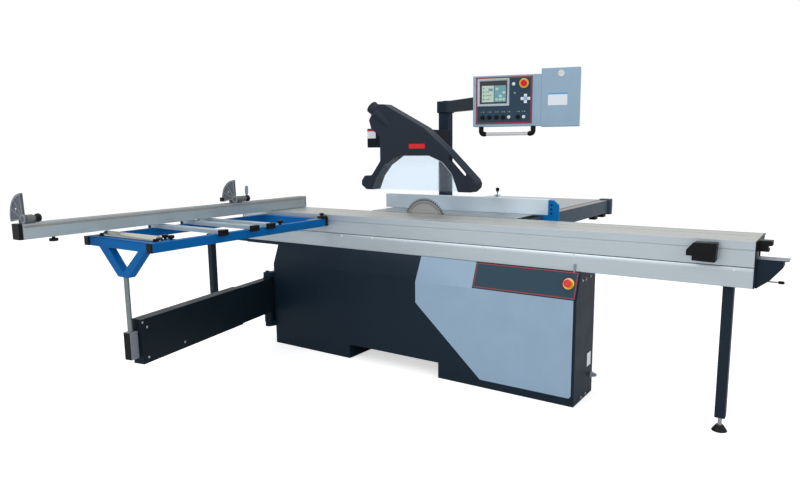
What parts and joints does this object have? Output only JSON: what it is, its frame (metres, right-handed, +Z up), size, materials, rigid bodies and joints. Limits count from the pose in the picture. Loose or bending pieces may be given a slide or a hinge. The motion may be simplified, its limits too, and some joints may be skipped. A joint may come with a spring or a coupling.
{
  "type": "sliding table saw",
  "caption": "Panel saw with a long sliding carriage, outrigger and cross-cut fence, tilting saw unit in a cabinet, overhead guard, swivelling console and rip fence.",
  "frame": {"origin": "middle of the floor rectangle under the whole machine, on the floor", "axes": "+X along the carriage towards its infeed end, +Y from the operator across the blade to the extension table, +Z up"},
  "size_m": [3.788, 3.5932, 1.811],
  "materials": {
    "paint_dark": "satin",
    "paint_blue": "satin",
    "paint_grey": "satin",
    "hood_dark": "satin",
    "window_clear": "clear",
    "aluminium_plain": "satin anodised",
    "table_iron": "ground",
    "steel_plain": "brushed",
    "motor_cast": "painted",
    "plastic_black": "matt",
    "belt_rubber": "matt",
    "button_red": "gloss",
    "button_white": "gloss"
  },
  "bodies": {
    "frame": {"base_rail": "aluminium_plain", "rail_end_plates": "paint_dark", "support_legs": "paint_dark", "leg_feet": "plastic_black", "cabinet_front": "paint_dark", "front_cover": "paint_grey", "control_strip": "plastic_black", "cabinet_panels": "paint_dark", "cable_gland": "plastic_black", "fixed_table": "table_iron", "extension_table": "table_iron", "rip_rail": "paint_dark", "guard_column": "paint_dark", "guard_boom": "paint_dark", "arm_hinge": "paint_dark"},
    "carriage": {"carriage": "aluminium_plain", "carriage_fittings": "plastic_black", "outrigger_frame": "paint_blue", "outrigger_fittings": "plastic_black", "slats": "aluminium_plain"},
    "truck": {"roller_truck": "steel_plain"},
    "roller": {"end_roller": "steel_plain"},
    "crosscut": {"crosscut_fence": "aluminium_plain", "fence_fittings": "plastic_black"},
    "stop_left": {"stop_body_left": "plastic_black"},
    "stop_right": {"stop_body_right": "plastic_black"},
    "flap_left": {"stop_flap_left": "aluminium_plain"},
    "flap_right": {"stop_flap_right": "aluminium_plain"},
    "arm": {"arm_beam": "paint_dark"},
    "arm_end": {"arm_box": "paint_dark", "support_rod": "steel_plain"},
    "lever": {"lock_lever": "steel_plain"},
    "strip_stop": {"strip_estop": "button_red"},
    "tilt": {"tilt_frame": "paint_dark"},
    "lift": {"lift_carriage": "steel_plain", "motor": "motor_cast", "drive_belt": "belt_rubber"},
    "arbor": {"saw_arbor": "steel_plain", "main_blade": "steel_plain"},
    "rotor": {"motor_pulley": "steel_plain"},
    "scoring": {"scoring_unit": "steel_plain"},
    "guard": {"guard_hood": "hood_dark", "guard_window": "window_clear"},
    "swing_arm": {"console_arm": "paint_dark"},
    "console": {"console_box": "paint_grey", "console_panel": "plastic_black", "console_handle": "plastic_black"},
    "console_stop": {"console_estop": "button_red"},
    "start": {"start_button": "button_white"},
    "cycle": {"cycle_button": "button_white"},
    "reset": {"reset_button": "button_white"},
    "select_1": {"selector_1": "plastic_black"},
    "select_2": {"selector_2": "plastic_black"},
    "select_3": {"selector_3": "plastic_black"},
    "select_4": {"selector_4": "plastic_black"},
    "select_5": {"selector_5": "plastic_black"},
    "rip": {"rip_fence": "aluminium_plain", "fence_bracket": "paint_blue"},
    "rip_handle": {"rip_lever": "plastic_black"}
  },
  "joints": [
    {"name": "carriage_slide", "type": "slide", "parent": "frame", "child": "carriage", "axis": [1, 0, 0], "range_m": [-1.4, 1.3]},
    {"name": "truck_slide", "type": "slide", "parent": "frame", "child": "truck", "axis": [1, 0, 0], "range_m": [-0.7, 0.65]},
    {"name": "roller_spin", "type": "hinge", "parent": "carriage", "child": "roller", "pos_m": [-0.933, -1.3446, 0.874], "axis": [1, 0, 0], "continuous": true},
    {"name": "crosscut_swing", "type": "hinge", "parent": "carriage", "child": "crosscut", "pos_m": [-1.1715, -0.0866, 0.94], "axis": [0, 0, 1], "range_deg": [-30, 30]},
    {"name": "stop_left_slide", "type": "slide", "parent": "crosscut", "child": "stop_left", "axis": [0, 1, 0], "range_m": [0, 0.4]},
    {"name": "stop_right_slide", "type": "slide", "parent": "crosscut", "child": "stop_right", "axis": [0, 1, 0], "range_m": [-0.5, 0.4]},
    {"name": "flap_left_swing", "type": "hinge", "parent": "stop_left", "child": "flap_left", "pos_m": [-1.132, -1.7686, 1.003], "axis": [0, 1, 0], "range_deg": [0, 135]},
    {"name": "flap_right_swing", "type": "hinge", "parent": "stop_right", "child": "flap_right", "pos_m": [-1.132, -0.4706, 1.003], "axis": [0, 1, 0], "range_deg": [0, 135]},
    {"name": "arm_swing", "type": "hinge", "parent": "frame", "child": "arm", "pos_m": [-1.128, -0.2316, 0.305], "axis": [0, 0, 1], "range_deg": [-55, 55]},
    {"name": "arm_extend", "type": "slide", "parent": "arm", "child": "arm_end", "axis": [0.1942, -0.981, 0], "range_m": [0, 0.45]},
    {"name": "lever_turn", "type": "hinge", "parent": "frame", "child": "lever", "pos_m": [1.789, 0.0034, 0.704], "axis": [0, 0, 1], "range_deg": [0, 60]},
    {"name": "strip_stop_push", "type": "slide", "parent": "frame", "child": "strip_stop", "axis": [0, 0.928, -0.3725], "range_m": [0, 0.006]},
    {"name": "saw_tilt", "type": "hinge", "parent": "frame", "child": "tilt", "pos_m": [-0.138, 0.2034, 0.9], "axis": [-1, 0, 0], "range_deg": [0, 45]},
    {"name": "saw_lift", "type": "slide", "parent": "tilt", "child": "lift", "axis": [0, 0, 1], "range_m": [-0.1, 0]},
    {"name": "arbor_spin", "type": "hinge", "parent": "lift", "child": "arbor", "pos_m": [-0.138, 0.2534, 0.8425], "axis": [0, 1, 0], "continuous": true},
    {"name": "rotor_spin", "type": "hinge", "parent": "lift", "child": "rotor", "pos_m": [-0.078, 0.3334, 0.612], "axis": [0, 1, 0], "continuous": true},
    {"name": "scoring_spin", "type": "hinge", "parent": "tilt", "child": "scoring", "pos_m": [0.094, 0.2434, 0.833], "axis": [0, 1, 0], "continuous": true},
    {"name": "guard_lift", "type": "slide", "parent": "frame", "child": "guard", "axis": [0, 0, 1], "range_m": [-0.035, 0.12]},
    {"name": "swing_arm_turn", "type": "hinge", "parent": "frame", "child": "swing_arm", "pos_m": [-0.551, 1.1634, 1.6], "axis": [0, 0, 1], "range_deg": [-15, 60]},
    {"name": "console_turn", "type": "hinge", "parent": "swing_arm", "child": "console", "pos_m": [-0.00968, 0.85037, 1.687], "axis": [0, 0, 1], "range_deg": [-40, 40]},
    {"name": "console_stop_push", "type": "slide", "parent": "console", "child": "console_stop", "axis": [-0.3156, 0.9489, 0], "range_m": [0, 0.006]},
    {"name": "start_push", "type": "slide", "parent": "console", "child": "start", "axis": [-0.3156, 0.9489, 0], "range_m": [0, 0.004], "stiffness_N_per_m": 300},
    {"name": "cycle_push", "type": "slide", "parent": "console", "child": "cycle", "axis": [-0.3156, 0.9489, 0], "range_m": [0, 0.004], "stiffness_N_per_m": 300},
    {"name": "reset_push", "type": "slide", "parent": "console", "child": "reset", "axis": [-0.3156, 0.9489, 0], "range_m": [0, 0.004], "stiffness_N_per_m": 300},
    {"name": "select_1_turn", "type": "hinge", "parent": "console", "child": "select_1", "pos_m": [0.01962, 0.68307, 1.506], "axis": [0.3156, -0.9489, 0], "range_deg": [-45, 45]},
    {"name": "select_2_turn", "type": "hinge", "parent": "console", "child": "select_2", "pos_m": [0.06232, 0.69727, 1.506], "axis": [0.3156, -0.9489, 0], "range_deg": [-45, 45]},
    {"name": "select_3_turn", "type": "hinge", "parent": "console", "child": "select_3", "pos_m": [0.10787, 0.71243, 1.506], "axis": [0.3156, -0.9489, 0], "range_deg": [-45, 45]},
    {"name": "select_4_turn", "type": "hinge", "parent": "console", "child": "select_4", "pos_m": [0.14962, 0.72631, 1.506], "axis": [0.3156, -0.9489, 0], "range_deg": [-45, 45]},
    {"name": "select_5_turn", "type": "hinge", "parent": "console", "child": "select_5", "pos_m": [0.24166, 0.75693, 1.506], "axis": [0.3156, -0.9489, 0], "range_deg": [-45, 45]},
    {"name": "rip_slide", "type": "slide", "parent": "frame", "child": "rip", "axis": [0, 1, 0], "range_m": [-0.16, 0.6]},
    {"name": "rip_lever_turn", "type": "hinge", "parent": "rip", "child": "rip_handle", "pos_m": [0.237, 0.4784, 1.0045], "axis": [1, 0, 0], "range_deg": [-40, 40]}
  ],
  "couplings": [
    {"joint": "truck_slide", "follows": "carriage_slide", "ratio": 0.5},
    {"joint": "arm_swing", "follows": "carriage_slide", "rad_per_m": 0.624},
    {"joint": "rotor_spin", "follows": "arbor_spin", "ratio": 0.75}
  ]
}
